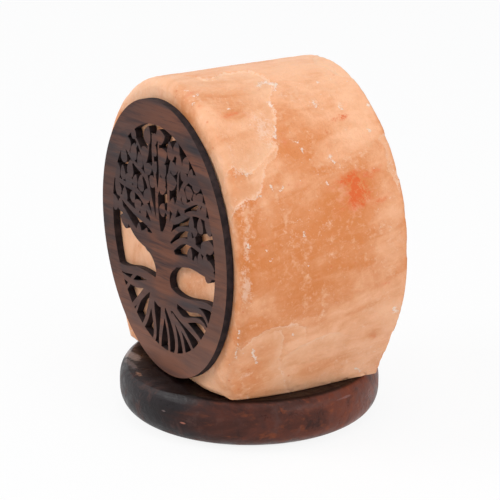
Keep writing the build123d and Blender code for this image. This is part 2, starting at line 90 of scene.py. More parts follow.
# ------------------------------------------------------------------ node trees
class Sock:
    """An output socket. Arithmetic on it adds Math nodes to its tree."""

    def __init__(self, tree, socket):
        self.tree, self.socket = tree, socket

    def maths(self, operation, first, second=0.0):
        return self.tree.node("ShaderNodeMath", {"operation": operation}, {0: first, 1: second})

    def __add__(self, other):
        return self.maths("ADD", self, other)

    def __sub__(self, other):
        return self.maths("SUBTRACT", self, other)

    def __mul__(self, other):
        return self.maths("MULTIPLY", self, other)

    def __truediv__(self, other):
        return self.maths("DIVIDE", self, other)

    def most(self, other):
        return self.maths("MAXIMUM", self, other)

    def size(self):
        return self.maths("ABSOLUTE", self)

    def sine(self):
        return self.maths("SINE", self)

    def cosine(self):
        return self.maths("COSINE", self)

    def over(self, low, high):
        """0 below low, 1 above high, smooth between; high may be the smaller."""
        return self.tree.node("ShaderNodeMapRange", {"interpolation_type": "SMOOTHSTEP"},
                              {"Value": self, "From Min": low, "From Max": high}, "Result")


class Tree:
    """A node tree, with one method that adds any node."""

    def __init__(self, nodes):
        self.nodes, self.links = nodes.nodes, nodes.links

    def feed(self, socket, value):
        if isinstance(value, Sock):
            self.links.new(value.socket, socket)
        else:
            socket.default_value = value

    def node(self, kind, settings=None, inputs=None, output=0):
        made = self.nodes.new(kind)
        for name, value in (settings or {}).items():
            setattr(made, name, value)
        for name, value in (inputs or {}).items():
            self.feed(made.inputs[name], value)
        return Sock(self, made.outputs[output])


def tint(red, green, blue):
    """A colour as seen on screen, 0 to 255, as the light-linear colour that nodes take."""
    shares = [channel / 255 for channel in (red, green, blue)]
    return [s / 12.92 if s <= 0.04045 else ((s + 0.055) / 1.055) ** 2.4 for s in shares] + [1.0]


class Finish(Tree):
    """A material round one shader, with the patterns that its pieces share."""

    def __init__(self, name, **constants):
        self.material = bpy.data.materials.new(name)
        self.material.use_nodes = True
        super().__init__(self.material.node_tree)
        self.shader = self.nodes["Principled BSDF"]
        for socket, value in constants.items():
            self.shader.inputs[socket.replace("_", " ")].default_value = value
        self.position = self.node("ShaderNodeTexCoord", output="Object")

    def axes(self, vector=None):
        """The x, y and z of a vector, or else of the place on the object."""
        split = self.node("ShaderNodeSeparateXYZ", {}, {0: vector or self.position})
        return [split] + [Sock(self, split.socket.node.outputs[i]) for i in (1, 2)]

    def stretched(self, x, y, z, turn=(0, 0, 0)):
        """Object coordinates turned back, then scaled along each axis, for grain and streaks."""
        return self.node("ShaderNodeMapping", {"vector_type": "TEXTURE"},
                         {"Vector": self.position, "Scale": (1 / x, 1 / y, 1 / z), "Rotation": turn})

    def clouds(self, scale, detail=3.0, roughness=0.55, distortion=0.0, vector=None, shift=0.0):
        """Soft noise, 0 to 1; each shift draws another pattern."""
        moved = self.node("ShaderNodeVectorMath", {"operation": "ADD"},
                          {0: vector or self.position, 1: (shift, shift, shift)})
        return self.node("ShaderNodeTexNoise", {},
                         {"Vector": moved, "Scale": scale, "Detail": detail, "Roughness": roughness,
                          "Distortion": distortion})

    def cells(self, scale):
        """The distance to the nearest of scattered points."""
        return self.node("ShaderNodeTexVoronoi", {},
                         {"Vector": self.position, "Scale": scale}, "Distance")

    def attribute(self, name):
        """A value that the mesh holds at each point."""
        return self.node("ShaderNodeAttribute", {"attribute_name": name}, {}, "Fac")

    def blend(self, share, low, high):
        """A colour between two, by a share of 0 to 1."""
        return self.node("ShaderNodeMix", {"data_type": "RGBA", "clamp_factor": True},
                         {0: share, 6: low, 7: high}, 2)

    def bump(self, height, distance, strength):
        normal = self.node("ShaderNodeBump", {},
                           {"Height": height, "Distance": distance, "Strength": strength})
        self.feed(self.shader.inputs["Normal"], normal)

    def colour(self, value):
        self.feed(self.shader.inputs["Base Color"], value)

    def roughness(self, value):
        self.feed(self.shader.inputs["Roughness"], value)


# ------------------------------------------------------------------ finishes
STREAKS = (radians(16), 0, 0)   # the salt's layers run along the drum and rise to the back
BASE_GRAIN = (0, 0, radians(27))
BOARD_GRAIN = (0, radians(-7), 0)


def rock_salt(name="rock_salt", shine=0.0):
    """Milky orange salt; the drum's attributes say where it is amber, frosted, rusty, chipped or painted
    with highlights.
    """
    milky, amber, deep_amber = tint(247, 188, 147), tint(215, 127, 62), tint(216, 130, 70)
    wisp, cloud, dust = tint(249, 206, 172), tint(249, 202, 166), tint(250, 210, 178)
    fresh, lip_highlight_white, frosted = tint(246, 198, 160), tint(252, 224, 202), tint(246, 209, 184)
    iron, freckled, scratch_and_glint_white = tint(221, 98, 34), tint(214, 108, 56), tint(253, 236, 222)
    crystal = tint(255, 238, 226)
    salt = Finish(name, Subsurface_Weight=0.10, Subsurface_Radius=(1.0, 0.4, 0.2), Subsurface_Scale=0.002,
                  IOR=1.5, Specular_IOR_Level=0.4 + shine, Coat_Weight=shine, Coat_Roughness=0.03)
    wide = salt.clouds(17, 3, 0.5, 0.5) - 0.5
    middle = salt.clouds(60, 5, 0.62, 0.7, shift=3.1) - 0.5
    small = salt.clouds(170, 4, 0.62, 0.9, shift=11.3) - 0.5
    fine = salt.clouds(420, 4, 0.68, shift=7.7) - 0.5
    grit = salt.clouds(1500, 2, 0.6, shift=2.0) - 0.5
    laid = salt.stretched(1.5, 0.42, 1.5, STREAKS)
    layers = salt.clouds(75, 5, 0.62, 0.5, vector=laid, shift=1.3) - 0.5

    share = salt.attribute("amber") + wide * 1.5 + middle * 1.5 + layers * 1.4 + small * 0.6 + fine * 0.3
    body = salt.blend(share.over(-0.35, 0.9), milky, amber)
    wisps = layers.size().over(0.035, 0.0) * middle.over(-0.06, 0.12)
    body = salt.blend(wisps * 0.14, body, wisp)
    body = salt.blend((middle * 0.8 + small + fine * 0.6).over(0.0, 0.3) * 0.4, body, cloud)
    body = salt.blend((grit + fine).over(0.0, 0.34) * 0.14, body, dust)
    deep = (fine + grit * 0.6 + small * 0.5).over(0.0, -0.3) * (share.over(-0.2, 0.7) * 0.2 + 0.14)
    body = salt.blend(deep, body, deep_amber)

    for layer in FLAKE_LAYERS:
        edge = salt.attribute(layer + "_edge") + fine * 2.6 + grit * 1.6
        hollow = salt.attribute(layer + "_hollow")
        body = salt.blend(edge.over(-0.2, 0.3) * hollow * 0.5, body, fresh)
        # a white line along each flake's edge: a painted highlight on the step of the break
        painted_lip_highlight = edge.over(-0.3, 0.0) * edge.over(0.9, 0.3) * hollow.over(0.35, 0.9)
        body = salt.blend(painted_lip_highlight * (middle.over(-0.14, 0.12) * 0.3 + 0.05), body, lip_highlight_white)
    frost = salt.attribute("frost") + fine * 2.4 + middle * 1.2 + grit * 1.8
    body = salt.blend(frost.over(0.35, 1.2) * 0.55, body, frosted)
    rust = salt.attribute("rust") * (layers * 1.6 + small * 2.2 + fine * 3.0 + grit * 2.0 + 0.8)
    body = salt.blend(rust.over(0.0, 1.5), body, iron)
    freckles = salt.cells(170).over(0.13, 0.05) * salt.clouds(45, 2, shift=5).over(0.5, 0.62)
    body = salt.blend(freckles * 0.5, body, freckled)
    # white along scratches and ridges, and painted glints: small highlights of crystal faces painted white
    scratch_and_glint = salt.attribute("scratch_and_glint")
    bright = (scratch_and_glint + fine * 1.6 + grit * 2.2).over(0.5, 0.95) * scratch_and_glint.over(0.0, 0.3)
    body = salt.blend(bright * 0.68, body, scratch_and_glint_white)

    salt.colour(salt.blend(shine, body, crystal) if shine else body)
    salt.roughness((fine * 0.5 + grit * 0.3 + 0.52 - bright * 0.2 - shine * 0.5).most(0.08))
    grain = salt.cells(420) * 0.35 + fine * 1.3 + grit * 0.5 + small * 0.8 + middle + bright * 0.6
    salt.bump(grain, 0.5 * MM, 0.6)
    return salt.material


# Pale places on the base, some worn and knocked, some painted highlights and reflections: centre, radii
# (mm), strength and colour.
WORN_AND_SHEEN = [
    # The first two lie along the front ridge: worn pale, and a painted highlight on it as well.
    ((-25.0, -42.5, 20.6), (11.0, 2.6, 1.5), 0.6, (160, 136, 126)),
    ((-18.0, -46.5, 20.4), (10.0, 1.6, 1.2), 0.4, (138, 116, 110)),
    ((-4.5, -48.8, 20.2), (4.0, 1.8, 1.3), 0.7, (190, 136, 108)),
    ((28.5, -45.0, 10.5), (2.4, 1.4, 0.5), 0.7, (190, 120, 100)),
    ((-10.0, -47.5, 19.4), (12.0, 2.0, 1.6), 0.35, (84, 78, 82)),
    ((20.0, -49.0, 13.6), (1.4, 1.2, 0.4), 0.5, (140, 120, 118)),
    # A painted reflection, grey on the left side.
    ((-42.0, -34.0, 15.0), (17.0, 20.0, 9.0), 0.42, (122, 98, 96)),
    # A painted highlight along the right side.
    ((50.0, 16.0, 17.6), (2.0, 12.0, 0.5), 0.3, (160, 130, 128)),
]


def dark_wood():
    """Stained hardwood, its grain across the base, redder to the back right, worn pale, with painted
    highlights and shade.
    """
    black, brown = tint(38, 32, 34), tint(118, 58, 38)
    vein, fibre, dust, pit = tint(24, 20, 22), tint(146, 76, 44), tint(92, 64, 58), tint(22, 18, 20)
    painted_seat_shade, speck = tint(16, 4, 3), tint(150, 122, 110)
    wood = Finish("dark_stained_wood", Specular_IOR_Level=0.18)
    grain = wood.clouds(34, 5, 0.62, 0.5, vector=wood.stretched(0.22, 1.6, 2.2, BASE_GRAIN)) - 0.5
    fibres = wood.clouds(190, 4, 0.65, vector=wood.stretched(0.1, 1.2, 1.6, BASE_GRAIN), shift=4) - 0.5
    stain = wood.clouds(24, 4, 0.6, 0.5, shift=2.2) - 0.5
    mottle = wood.clouds(120, 4, 0.65, 0.4, shift=6) - 0.5
    x, y, z = wood.axes()

    redder = stain * 1.4 + grain * 1.2 + (x * 0.75 + y) * 9 + 0.42
    body = wood.blend(redder.over(0.2, 1.0), black, brown)
    body = wood.blend(grain.over(-0.02, 0.14) * 0.6, body, vein)
    body = wood.blend(fibres.over(0.02, 0.2) * redder.over(0.2, 0.8) * 0.5, body, fibre)
    body = wood.blend(mottle.over(0.02, 0.16) * 0.45, body, dust)
    body = wood.blend(mottle.over(-0.03, -0.2) * 0.5, body, pit)
    # painted shade: the flat top round and under the salt painted near black
    body = wood.blend(z.over(BASE_SEAT_LOW * MM, BASE_SEAT_HIGH * MM) * 0.94, body, painted_seat_shade)
    for centre, radii, strength, colour in WORN_AND_SHEEN:
        off = [(axis - at * MM) / (radius * MM) for axis, at, radius in zip((x, y, z), centre, radii)]
        near = off[0] * off[0] + off[1] * off[1] + off[2] * off[2]
        spot = (near + mottle * 3.5 + fibres * 2.5).over(1.1, 0.2)
        body = wood.blend(spot * strength, body, tint(*colour))
    specks = wood.cells(260).over(0.06, 0.03) * wood.clouds(60, 2, shift=8).over(0.5, 0.6)
    wood.colour(wood.blend(specks * 0.4, body, speck))
    wood.roughness(stain * 0.5 + fibres * 0.4 + mottle * 0.7 + 0.4)
    wood.bump(grain * 0.6 + fibres * 0.4 + stain * 1.8 + mottle * 1.0, 0.8 * MM, 0.6)
    return wood.material


def cut_board():
    """Oiled board, its cut edges burnt dark, with painted shade to the left and painted light to the right.
    """
    brown, dark_band, warm, streak, pore = (tint(106, 62, 44), tint(42, 32, 35), tint(118, 65, 37),
                                            tint(40, 30, 36), tint(32, 25, 30))
    shaded, painted_light_right = tint(44, 36, 39), tint(128, 84, 64)
    smoked, paler_low = tint(46, 37, 40), tint(150, 110, 95)
    char, ash, chip = tint(30, 24, 26), tint(54, 43, 43), tint(190, 160, 140)
    board = Finish("cut_board", Specular_IOR_Level=0.15)
    long, longer, longest = (board.stretched(x, 1, z, BOARD_GRAIN)
                             for x, z in ((0.3, 2.6), (0.13, 2.4), (0.09, 1.7)))
    bands = board.clouds(36, 5, 0.62, 0.9, vector=long) - 0.5
    streaks = board.clouds(170, 4, 0.65, 0.3, vector=longer, shift=3) - 0.5
    pores = board.clouds(420, 3, 0.7, vector=longest, shift=6) - 0.5
    glow = board.clouds(20, 3, 0.5, shift=8) - 0.5
    x, _, z = board.axes()
    up = z - DRUM_Z * MM

    body = board.blend(bands.over(-0.11, 0.11), brown, dark_band)
    body = board.blend(glow.over(-0.06, 0.12) * 0.4, body, warm)
    body = board.blend(streaks.over(0.0, 0.18) * 0.62, body, streak)
    body = board.blend(pores.over(0.06, 0.2) * 0.55, body, pore)
    # painted shade, darker to the left and up, and painted light, paler to the right
    body = board.blend((x * -1 + up * 0.5).over(12 * MM, 52 * MM) * 0.42, body, shaded)
    body = board.blend((x - up * 0.2).over(20 * MM, 50 * MM) * 0.3, body, painted_light_right)
    cut_work = (x * x + up * up).over(((DISC_WORK_R + 0.4) * MM) ** 2, ((DISC_WORK_R - 0.4) * MM) ** 2)
    off_trunk = (x.size() + up.size() * 0.3 + bands * 0.02).over(10 * MM, 18 * MM)
    body = board.blend(cut_work * off_trunk * 0.45, body, smoked)
    # paler towards the bottom
    body = board.blend(z.over(64 * MM, 24 * MM) * 0.34, body, paler_low)
    line = ((z - DISC_CRACK_Z * MM).size() + pores * 0.0008).over(0.35 * MM, 0.1 * MM)
    body = board.blend(line * x.over(-50 * MM, -51 * MM), body, char)

    facing = board.axes(board.node("ShaderNodeTexCoord", output="Normal"))[1] * -1
    burnt = facing.over(0.75, 0.25)
    soot = board.blend(board.clouds(300, 3).over(0.3, 0.7), char, ash)
    chips = board.cells(240).over(0.09, 0.05) * board.clouds(60, 2, shift=7).over(0.54, 0.62)
    soot = board.blend(chips * 0.7, soot, chip)
    board.colour(board.blend(burnt, body, soot))
    board.roughness(burnt * 0.2 + streaks * 0.4 + 0.55)
    board.bump(streaks * 0.7 + pores * 0.8, 0.2 * MM, 0.5)
    return board.material


def moulded(name, low, high, rough):
    """Moulded plastic, rubber or ceramic: a faint mottle and a fine pebbled skin."""
    plastic = Finish(name)
    mottle = plastic.clouds(90, 3)
    plastic.colour(plastic.blend(mottle.over(0.3, 0.7), low, high))
    plastic.roughness(plastic.clouds(400, 3) * 0.2 + rough)
    plastic.bump(plastic.clouds(2200, 2) + mottle * 0.3, 0.0001, 0.35)
    return plastic.material


def metal(name, low, high, rough, turned=True):
    """Bare or plated metal with tool marks round the axis, and patches of duller skin."""
    alloy = Finish(name, Metallic=1.0)
    marks = alloy.clouds(60, 3, vector=alloy.stretched(1, 1, 40 if turned else 1))
    dull = alloy.clouds(160, 3, shift=4)
    alloy.colour(alloy.blend(dull.over(0.3, 0.7), low, high))
    alloy.roughness(dull * 0.2 + marks * 0.12 + rough)
    alloy.bump(marks, 0.0001, 0.25)
    return alloy.material


def clear_glass():
    """Thin blown glass with the faintest haze."""
    glass = Finish("clear_glass", IOR=1.5, Transmission_Weight=1.0)
    haze = glass.clouds(40, 2)
    glass.colour(glass.blend(haze, tint(250, 252, 252), tint(240, 246, 246)))
    glass.roughness(haze * 0.02)
    return glass.material


# ------------------------------------------------------------------ shared shape helpers
def new_object(name, mesh):
    """An object in the scene, at the origin."""
    piece = bpy.data.objects.new(name, mesh)
    bpy.context.scene.collection.objects.link(piece)
    return piece


def mesh_from(name, points, faces):
    """A smooth mesh from points in millimetres."""
    mesh = bpy.data.meshes.new(name)
    mesh.from_pydata((np.asarray(points) * MM).tolist(), [], faces)
    mesh.validate()
    for face in mesh.polygons:
        face.use_smooth = True
    return mesh


def points_of(mesh):
    """A mesh's points, in millimetres."""
    flat = np.zeros(3 * len(mesh.vertices))
    mesh.vertices.foreach_get("co", flat)
    return flat.reshape(-1, 3) / MM


def plain_mesh(source, name):
    """The evaluated shape of an object, as a plain mesh on a new object at the origin."""
    bpy.context.view_layer.update()
    evaluated = source.evaluated_get(bpy.context.evaluated_depsgraph_get())
    mesh = bpy.data.meshes.new_from_object(evaluated)
    mesh.name = name
    return new_object(name, mesh)


def closed_faces(rows, around):
    """Quads between rings of points, and a flat face over the first ring and the last."""
    faces = []
    for row in range(0, (rows - 1) * around, around):
        for c in range(around):
            d = (c + 1) % around
            faces.append((row + c, row + d, row + around + d, row + around + c))
    return faces + [tuple(range(around))[::-1], tuple(range((rows - 1) * around, rows * around))]


def lathe(name, profile, around):
    """A closed body turned about Z from radius and height in millimetres."""
    points = [(r * cos(2 * pi * a / around), r * sin(2 * pi * a / around), z)
              for r, z in profile for a in range(around)]
    return mesh_from(name, points, closed_faces(len(profile), around))


def ramp(values, start, end):
    """0 before start, 1 after end, straight between; end may be the smaller."""
    return np.clip((values - start) / (end - start), 0, 1)


# ------------------------------------------------------------------ the salt drum
AROUND = 560                    # mesh points round the drum
FACE_ROWS, FRONT_ROWS, SIDE_ROWS, BACK_ROWS = 15, 9, 108, 5     # rings on each face, rim and side
FIRST_SHARE = 0.04              # the innermost ring's share of the outline
ARC_STEPS = 400                 # points on the arc before they are spaced evenly
PIXEL = SENSOR / LENS * VIEW_DISTANCE / MM / PICTURE    # millimetres across a pixel of the picture

# Wear, in millimetres.
SKIN, LEAST_CUT = 0.28, 0.02                    # what rubbing took everywhere, and on the flat seat
WIDE_DENTS, SMALL_DENTS = 0.45, 0.14
BACK_BAND, FOOT_BAND = 4.0, 3.0                 # how far from its edge the back and the foot are chipped
EDGE_CHIPS, FOOT_CHIPS = 0.9, 3.6
CORNER_REACH, CORNER_WEAR = 9.0, (-1.6, 4.2, 0.0)   # how the foot's front corner is rubbed back
FOOT_SPREAD, FOOT_RISE, FOOT_REACH = 3.4, 14.0, 26.0    # how the foot's right side swells, and how far
FOOT_MIDDLE, FOOT_INNER, FOOT_OUTER = -4.0, 24.0, 40.0  # the swell's middle, where it starts and is full
RAGGED = 1.8                    # how far the edges of flakes and patches wander
FLAKE_BAND, FLAKE_STEP = 4, 0.6                 # the farthest that a flake's edge tells, and its ledge

FLAKE_LAYERS = ("first", "second")
FACE_EDGE = 2                                   # over how many millimetres the flat faces' colours fade
GLINT_SKIN, GLINT_CLEAR = 3, 1                  # how deep glints may sit, and how far inside the reach
GLINT_LEAST = 0.12                              # how thick they stand where nothing is chipped


def seen(x, y):
    """Where a pixel of the picture falls on the drum: degrees round it and millimetres along it."""
    back, right, up = (np.array(axis) for axis in view_axes())
    middle = PICTURE / 2
    ray = right * (x - middle) * PIXEL - up * (y - middle) * PIXEL - back * VIEW_DISTANCE / MM
    eye = np.array(VIEW_CENTRE) / MM + back * VIEW_DISTANCE / MM - np.array((0, 0, DRUM_Z))
    a = ray[0] ** 2 + ray[2] ** 2
    b = ray[0] * eye[0] + ray[2] * eye[2]
    c = eye[0] ** 2 + eye[2] ** 2 - DRUM_R ** 2
    hit = eye - ray * (b + max(b * b - a * c, 0) ** 0.5) / a
    return float(np.degrees(np.arctan2(hit[2], hit[0]))), float(hit[1])


def traced(*pixels):
    """A line on the drum through pixels of the picture."""
    return [seen(*pixel) for pixel in pixels]


def patches_at(*rows):
    """Patches of colour whose middles are pixels of the picture."""
    return [(seen(x, y), *rest) for x, y, *rest in rows]


# Broken flakes: which of two layers it is in, its sharp edge, the far points that close its
# hollow, its depth and how far it runs out, in millimetres.
FLAKES = [
    ("first", traced((206, 78), (224, 72), (247, 70), (262, 74), (275, 83), (272, 91), (270, 98), (275, 109),
                     (277, 121), (276, 130), (272, 138), (277, 143), (274, 150), (266, 160), (256, 169),
                     (249, 174), (240, 172), (233, 166)),
     [(34, -52), (112, -52), (112, -32)], 0.9, 12),
    ("second", traced((279, 146), (276, 158), (267, 163), (265, 171), (264, 181), (262, 191), (256, 199),
                      (247, 200), (240, 203), (231, 211)),
     [(14, -52), (52, -52), (52, -20)], 0.5, 9),
    ("second", traced((240, 352), (255, 339), (267, 331), (275, 328), (285, 327), (296, 324), (307, 329)),
     [(-52, 2), (-72, -6), (-72, -36), (-24, -48)], 0.45, 5),
    ("first", traced((282, 331), (285, 341), (282, 351), (280, 361), (282, 371), (286, 383)),
     [(-62, -12), (-62, -40), (-24, -48), (-22, -26)], 0.45, 7),
    ("first", traced((281, 384), (279, 363), (291, 353), (304, 346), (318, 339), (334, 333)),
     [(-34, 26), (-62, 26)], 0.4, 7),
    ("first", [(30, 41), (26, 36), (32, 33), (38, 35), (44, 34), (47, 41)], [(38, 50)], 0.6, 4),
    ("first", [(134, 6), (128, 16), (131, 24), (124, 30), (126, 41)], [(160, 48), (165, 10)], 0.9, 10),
    ("second", [(178, -40), (184, -28), (196, -20), (202, -4), (199, 8), (206, 18)],
     [(240, 10), (236, -45)], 0.8, 9),
    ("second", [(70, 42), (76, 32), (88, 29), (97, 33), (100, 42)], [(84, 60)], 0.4, 5),
]
# Soft patches of colour: the pixel, radius round the drum, radius along it, lean in degrees and strength.
# The rest have degrees round the drum and millimetres along it in place of the pixel.
AMBER = patches_at(
    (305, 270, 40, 30, 0, 0.75), (262, 262, 14, 9, 0, 0.25), (335, 200, 12, 26, 12, 0.4),
    (284, 142, 9, 7, 0, 0.3), (334, 120, 6, 14, 14, 0.3), (232, 112, 4, 8, 8, 0.5),
    (256, 328, 6, 7, 0, 0.4), (275, 348, 8, 5, 0, 0.3), (182, 102, 10, 4, 0, 0.1),
    (290, 105, 10, 10, 0, 0.2), (365, 260, 24, 12, 0, 0.45), (262, 382, 5, 12, 0, 0.45),
    (320, 365, 10, 18, 0, 0.3), (172, 84, 9, 9, 0, 0.3), (373, 335, 3, 4, 0, 0.6),
    (345, 112, 9, 12, 0, -0.25), (352, 208, 9, 14, 14, 0.5), (235, 95, 18, 12, 0, 0.3),
    (310, 150, 14, 16, 0, 0.2), (385, 150, 14, 8, 0, 0.45), (300, 345, 16, 14, 0, -0.3),
    (234, 172, 18, 6, 0, 0.45), (242, 225, 22, 6, 0, 0.5), (242, 280, 20, 5, 0, 0.4),
    (228, 355, 12, 7, 0, 0.6), (262, 366, 7, 7, 0, 0.5), (250, 110, 4, 5, 0, -0.4),
    (250, 148, 6, 5, 0, 0.45), (398, 290, 12, 4, 0, 0.3), (403, 220, 14, 3, 0, 0.3),
    (310, 355, 8, 16, 0, 0.25),
) + [
    # The first row takes amber out of the top left of the front rim: a painted highlight.
    ((116, -38.5), 18, 6, 0, -0.9), ((150, 8), 26, 20, 0, 0.7), ((200, -10), 24, 24, 0, 0.6),
    ((110, 4), 16, 16, 0, 0.3),
]
FROST = patches_at(
    (246, 250, 5, 2.6, 0, 0.85), (244, 282, 9, 3.0, 4, 0.75), (248, 290, 6, 3.4, 0, 0.6),
    (242, 300, 4, 2.0, 0, 0.6), (264, 128, 9, 5, 0, 1.0), (270, 104, 5, 1.6, 0, 0.6),
    (225, 136, 6, 2.6, 0, 0.5), (232, 158, 7, 2.2, -10, 0.5), (246, 171, 2, 7, 0, 0.6),
    (245, 205, 1.5, 6, 16, 0.5), (397, 175, 11, 2.2, 0, 0.85), (388, 190, 6, 1.6, 0, 0.4),
    (310, 62, 4, 5, 0, 0.6), (345, 80, 6, 9, -12, 0.3), (240, 72, 3, 9, 10, 0.45),
    # The first two rows just below paint glints: small highlights.
    (316, 105, 3.6, 2.4, 0, 0.75), (341, 106, 2.2, 2.2, 0, 0.7), (284, 94, 1.4, 2.6, 0, 0.5),
    (325, 225, 3, 9, 24, 0.45), (300, 228, 4, 7, 24, 0.35), (295, 325, 3.4, 6, 10, 0.6),
    (323, 313, 2, 4, 16, 0.6), (395, 310, 3, 2.4, 0, 0.75), (355, 362, 1.6, 3, 0, 0.6),
    (245, 374, 1.6, 5, 24, 0.7), (254, 341, 2.0, 7, 20, 0.5), (318, 341, 2, 8, 22, 0.5),
    (370, 352, 9, 10, 10, 0.35), (392, 245, 26, 5, 0, 0.2), (238, 390, 3, 5, 0, 0.5),
    (240, 215, 10, 3, 0, 0.35), (362, 158, 8, 8, 0, 0.25), (330, 165, 5, 9, 10, 0.25),
) + [
    ((160, -34), 30, 4, 0, 0.6), ((190, 35), 30, 4, 0, 0.6), ((128, 20), 5, 14, 0, 0.5),
    # A pale patch on the top left of the front rim: frost and a painted highlight.
    ((117, -38), 12, 4, 0, 0.5),
]
RUST = patches_at(
    (356, 184, 4.6, 3.6, 20, 1.1), (359, 193, 4.2, 3.0, 0, 1.0), (343, 180, 1.8, 7, 18, 0.7),
    (354, 190, 7, 11, 18, 0.35), (370, 198, 3, 4, 10, 0.35), (372, 172, 1.6, 5, 16, 0.6),
    (352, 204, 4, 8, 20, 0.6), (381, 200, 1.2, 5, 24, 0.8), (338, 118, 1.3, 5, 20, 1.0),
    (345, 116, 1.0, 3, 10, 0.7), (233, 113, 1.4, 9, 4, 0.75), (251, 116, 1.0, 3, 0, 0.5),
    (284, 140, 5, 2.5, 0, 0.5), (300, 183, 2, 4, 10, 0.5), (386, 284, 0.9, 2.6, 14, 0.9),
    (376, 289, 0.9, 2.0, 10, 0.6), (374, 336, 1.8, 1.6, 0, 0.7), (264, 245, 1.6, 2.0, 0, 0.6),
    (190, 92, 2.2, 6, 10, 0.5), (196, 105, 1.2, 3, 0, 0.6),
) + [
    ((138, 0), 7, 5, 20, 0.8), ((172, 22), 5, 4, 0, 0.7), ((150, -20), 2, 8, 10, 0.6),
]
# Sharp pale scratches, ridges and flecks, and painted glints: half width in millimetres, then the pixels of
# their line.
SCRATCHES_AND_GLINTS = [
    (0.8, (258, 84), (261, 81), (267, 80), (273, 82), (276, 85)), (0.6, (275, 86), (274, 90)),
    (0.5, (184, 89), (188, 90)), (0.6, (193, 96), (197, 93)), (0.5, (188, 101), (194, 101)),
    (0.6, (269, 100), (272, 104)), (0.5, (227, 108), (231, 108)), (0.5, (316, 81), (319, 83)),
    (0.6, (293, 141), (297, 142)), (0.4, (302, 149), (303, 152)), (0.6, (330, 156), (334, 162)),
    (0.4, (367, 129), (371, 131)), (0.5, (271, 186), (274, 191)), (0.5, (280, 191), (283, 188)),
    (0.5, (369, 104), (371, 105)), (0.5, (327, 181), (329, 184)), (0.6, (314, 102), (317, 107)),
    (0.6, (339, 106), (343, 109)), (0.5, (276, 126), (275, 137)), (0.4, (303, 231), (304, 235)),
    (0.4, (271, 261), (274, 257)), (0.5, (266, 250), (267, 251)), (0.4, (308, 266), (310, 264)),
    (0.35, (236, 334), (234, 352), (234, 362)), (0.45, (254, 350), (254, 356), (257, 364)),
    (0.6, (257, 384), (261, 384)), (0.5, (263, 384), (269, 383)), (0.4, (293, 335), (294, 336)),
    (0.6, (249, 245), (248, 249)), (0.6, (394, 309), (396, 312)), (0.5, (353, 361), (357, 362)),
    (0.4, (262, 196), (257, 199)), (0.4, (240, 172), (249, 175)),
]


def salt_outline():
    """The drum's cross-section as evenly spaced points about its axis, x and z."""
    corner = np.array([SEAT_HALF, SEAT_Z - DRUM_Z])
    touch = np.arctan2(corner[1], corner[0]) + np.arccos(DRUM_R / np.hypot(*corner))
    arc = np.linspace(touch, pi - touch, ARC_STEPS)
    line = [tuple(corner)] + [(DRUM_R * cos(a), DRUM_R * sin(a)) for a in arc] + [(-corner[0], corner[1])]
    line = np.array(line + line[:1])
    run = np.concatenate([[0], np.cumsum(np.hypot(*np.diff(line, axis=0).T))])
    steps = np.linspace(0, run[-1], AROUND, endpoint=False)
    return np.column_stack([np.interp(steps, run, line[:, 0]), np.interp(steps, run, line[:, 1])])


def salt_profile():
    """Rows from the middle of the front to the middle of the back: shrink and y."""
    faces = np.linspace(FIRST_SHARE, 1, FACE_ROWS, endpoint=False)
    rows = [(share * (1 - FRONT_ROUND / DRUM_R), SALT_FRONT) for share in faces]
    for turn in np.linspace(0, pi / 2, FRONT_ROWS):
        rows.append((1 - FRONT_ROUND * (1 - sin(turn)) / DRUM_R, SALT_FRONT + FRONT_ROUND * (1 - cos(turn))))
    rows += [(1, y) for y in np.linspace(SALT_FRONT + FRONT_ROUND, SALT_BACK - BACK_ROUND, SIDE_ROWS)[1:]]
    for turn in np.linspace(pi / 2, 0, BACK_ROWS)[1:]:
        rows.append((1 - BACK_ROUND * (1 - sin(turn)) / DRUM_R, SALT_BACK - BACK_ROUND * (1 - cos(turn))))
    return rows + [(share * (1 - BACK_ROUND / DRUM_R), SALT_BACK) for share in faces[::-1]]


def unrolled(points):
    """Where points of the drum lie round it and along it, in millimetres. Along runs on over the rims."""
    x, y, z = points[:, 0], points[:, 1], points[:, 2] - DRUM_Z
    angle = np.degrees(np.arctan2(z, x))
    angle = np.where(angle < -100, angle + 360, angle)
    inward = DRUM_R - np.hypot(x, z)
    along = np.where(y < SALT_FRONT + FRONT_ROUND, y - np.maximum(inward, 0), y)
    along = np.where(y > SALT_BACK - BACK_ROUND, y + np.maximum(inward, 0), along)
    return np.column_stack([np.radians(angle) * DRUM_R, along])


def in_millimetres(places):
    """Degrees round the drum and millimetres along it, as millimetres both ways."""
    return np.array([(radians(degrees_round) * DRUM_R, along) for degrees_round, along in places])


def distance_to(points, line):
    """How far each point is from a broken line."""
    best = np.full(len(points), 1e9)
    for start, end in zip(line[:-1], line[1:]):
        run = end - start
        share = np.clip(((points - start) @ run) / (run @ run), 0, 1)
        best = np.minimum(best, np.hypot(*(points - start - share[:, None] * run).T))
    return best


def inside(points, loop):
    """Which points lie inside a closed loop."""
    hit = np.zeros(len(points), bool)
    for (x0, y0), (x1, y1) in zip(loop, np.roll(loop, -1, axis=0)):
        crosses = (y0 > points[:, 1]) != (y1 > points[:, 1])
        slope = (x1 - x0) / (y1 - y0) if y1 != y0 else 0.0
        hit ^= crosses & (points[:, 0] < x0 + slope * (points[:, 1] - y0))
    return hit


def rough(points, scale, octaves, seed):
    """Smooth noise, about -0.5 to 0.5, at points in millimetres."""
    shift = Vector((seed, 2 * seed, -seed))
    return np.array([noise.fractal(Vector(p) * scale + shift, 0.9, 2.0, octaves) for p in points]) * 0.5


def patches(places, spots):
    """Soft patches of a colour, added up."""
    total = np.zeros(len(places))
    for middle, wide, deep, lean, strength in spots:
        off = places - in_millimetres([middle])[0]
        c, s = cos(radians(lean)), sin(radians(lean))
        across = (off[:, 0] * c - off[:, 1] * s) / wide
        down = (off[:, 0] * s + off[:, 1] * c) / deep
        total += strength * np.exp(-across ** 2 - down ** 2)
    return total


